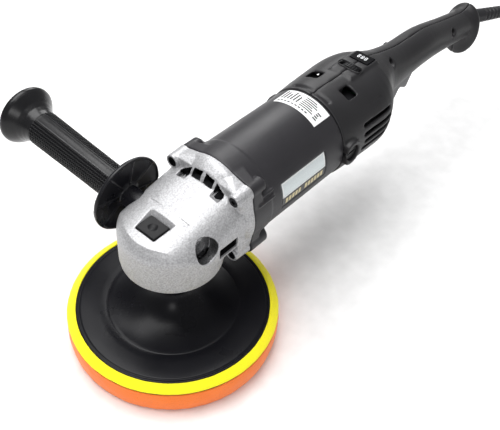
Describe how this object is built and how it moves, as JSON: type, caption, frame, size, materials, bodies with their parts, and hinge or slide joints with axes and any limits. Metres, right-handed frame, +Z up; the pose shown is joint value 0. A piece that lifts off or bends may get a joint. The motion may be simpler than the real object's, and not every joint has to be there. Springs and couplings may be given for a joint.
{
  "type": "rotary polisher",
  "caption": "Electric rotary polisher with cast gear head, foam pad on a backing plate, side handle, rear handle with trigger, and power cord.",
  "frame": {"origin": "centre of the foam pad's working face, which lies on the floor", "axes": "+X runs back along the body to the rear handle, +Y points to the side handle, +Z is up along the spindle"},
  "size_m": [0.7107, 0.3911, 0.1592],
  "materials": {
    "orange_foam": "matte",
    "yellow_foam": "matte",
    "hook_fabric": "matte",
    "plate_plastic": "gloss",
    "cast_aluminium": "cast, fine grain",
    "housing_plastic": "fine texture",
    "black_plastic": "satin",
    "grey_plastic": "satin",
    "grip_rubber": "satin",
    "cord_rubber": "satin",
    "window": "gloss",
    "label_white": "satin",
    "label_silver": "brushed",
    "label_dark": "satin",
    "bright_steel": "machined",
    "gear_steel": "hardened",
    "black_steel": "black oxide",
    "core_steel": "laminated",
    "copper": "enamelled wire",
    "brass": "satin",
    "bronze": "sintered",
    "carbon": "matte",
    "board": "satin"
  },
  "bodies": {
    "tool_body": {"gear_head_housing": "cast_aluminium", "bearing_retainer": "cast_aluminium", "retainer_screws": "black_steel", "gear_head_screws": "black_steel", "spindle_bearing_outer": "bright_steel", "spindle_top_bush": "bronze", "spindle_lock_spring": "bright_steel", "motor_housing": "housing_plastic", "nameplate": "label_silver", "trim_strip": "label_dark", "spec_label": "label_white", "fan_baffle": "black_plastic", "stator_core": "core_steel", "field_coils": "copper", "front_bearing_outer": "bright_steel", "rear_bearing_outer": "bright_steel", "brush_holders": "brass", "carbon_brushes": "carbon", "brush_springs": "bright_steel", "brush_cap_left": "black_plastic", "brush_cap_right": "black_plastic", "handle_shell_left": "housing_plastic", "handle_shell_right": "housing_plastic", "handle_screws": "black_steel", "readout_window": "window", "control_board": "board", "trigger_spring": "bright_steel", "switch_body": "black_plastic", "cord_boot": "cord_rubber", "cord_clamp": "black_plastic", "power_cord": "cord_rubber", "power_cord_coil": "cord_rubber", "plug_body": "cord_rubber", "plug_pins": "brass", "side_handle_guard": "plate_plastic", "side_handle_grip": "grip_rubber", "side_handle_stud": "bright_steel"},
    "spindle_group": {"spindle": "bright_steel", "drive_gear": "gear_steel", "gear_clip": "bright_steel", "spindle_bearing_inner": "bright_steel", "hub_insert": "bright_steel", "backing_plate": "plate_plastic", "cushion_layer": "yellow_foam", "hook_layer": "hook_fabric", "foam_pad": "orange_foam"},
    "armature": {"armature_shaft": "bright_steel", "drive_pinion": "gear_steel", "pinion_nut": "bright_steel", "armature_core": "core_steel", "armature_windings": "copper", "commutator": "copper", "cooling_fan": "black_plastic", "front_bearing_inner": "bright_steel", "rear_bearing_inner": "bright_steel"},
    "spindle_lock": {"spindle_lock_button": "black_plastic", "spindle_lock_pin": "bright_steel"},
    "trigger_lever": {"trigger": "grey_plastic"},
    "lock_on": {"lock_on_button": "black_plastic"},
    "dial": {"speed_dial": "black_plastic"}
  },
  "joints": [
    {"name": "spindle_spin", "type": "hinge", "parent": "tool_body", "child": "spindle_group", "pos_m": [0, 0, 0], "axis": [0, 0, 1], "continuous": true},
    {"name": "armature_spin", "type": "hinge", "parent": "tool_body", "child": "armature", "pos_m": [0, 0, 0.1156], "axis": [1, 0, 0], "continuous": true},
    {"name": "spindle_lock_press", "type": "slide", "parent": "tool_body", "child": "spindle_lock", "axis": [0, 0, -1], "range_m": [0, 0.005], "stiffness_N_per_m": 700, "springref_m": -0.004, "deforming": ["spindle_lock_spring"]},
    {"name": "trigger_pull", "type": "hinge", "parent": "tool_body", "child": "trigger_lever", "pos_m": [0.289, 0, 0.109], "axis": [0, -1, 0], "range_deg": [0, 5], "stiffness_Nm_per_rad": 1.5, "springref_deg": -5.73, "deforming": ["trigger_spring"]},
    {"name": "lock_on_press", "type": "slide", "parent": "tool_body", "child": "lock_on", "axis": [0, -1, 0], "range_m": [0, 0.0025], "stiffness_N_per_m": 400, "springref_m": -0.002},
    {"name": "speed_dial_turn", "type": "hinge", "parent": "tool_body", "child": "dial", "pos_m": [0.222, 0, 0.1466], "axis": [1, 0, 0], "range_deg": [-135, 135]}
  ],
  "couplings": [
    {"joint": "armature_spin", "follows": "spindle_spin", "ratio": 4}
  ]
}
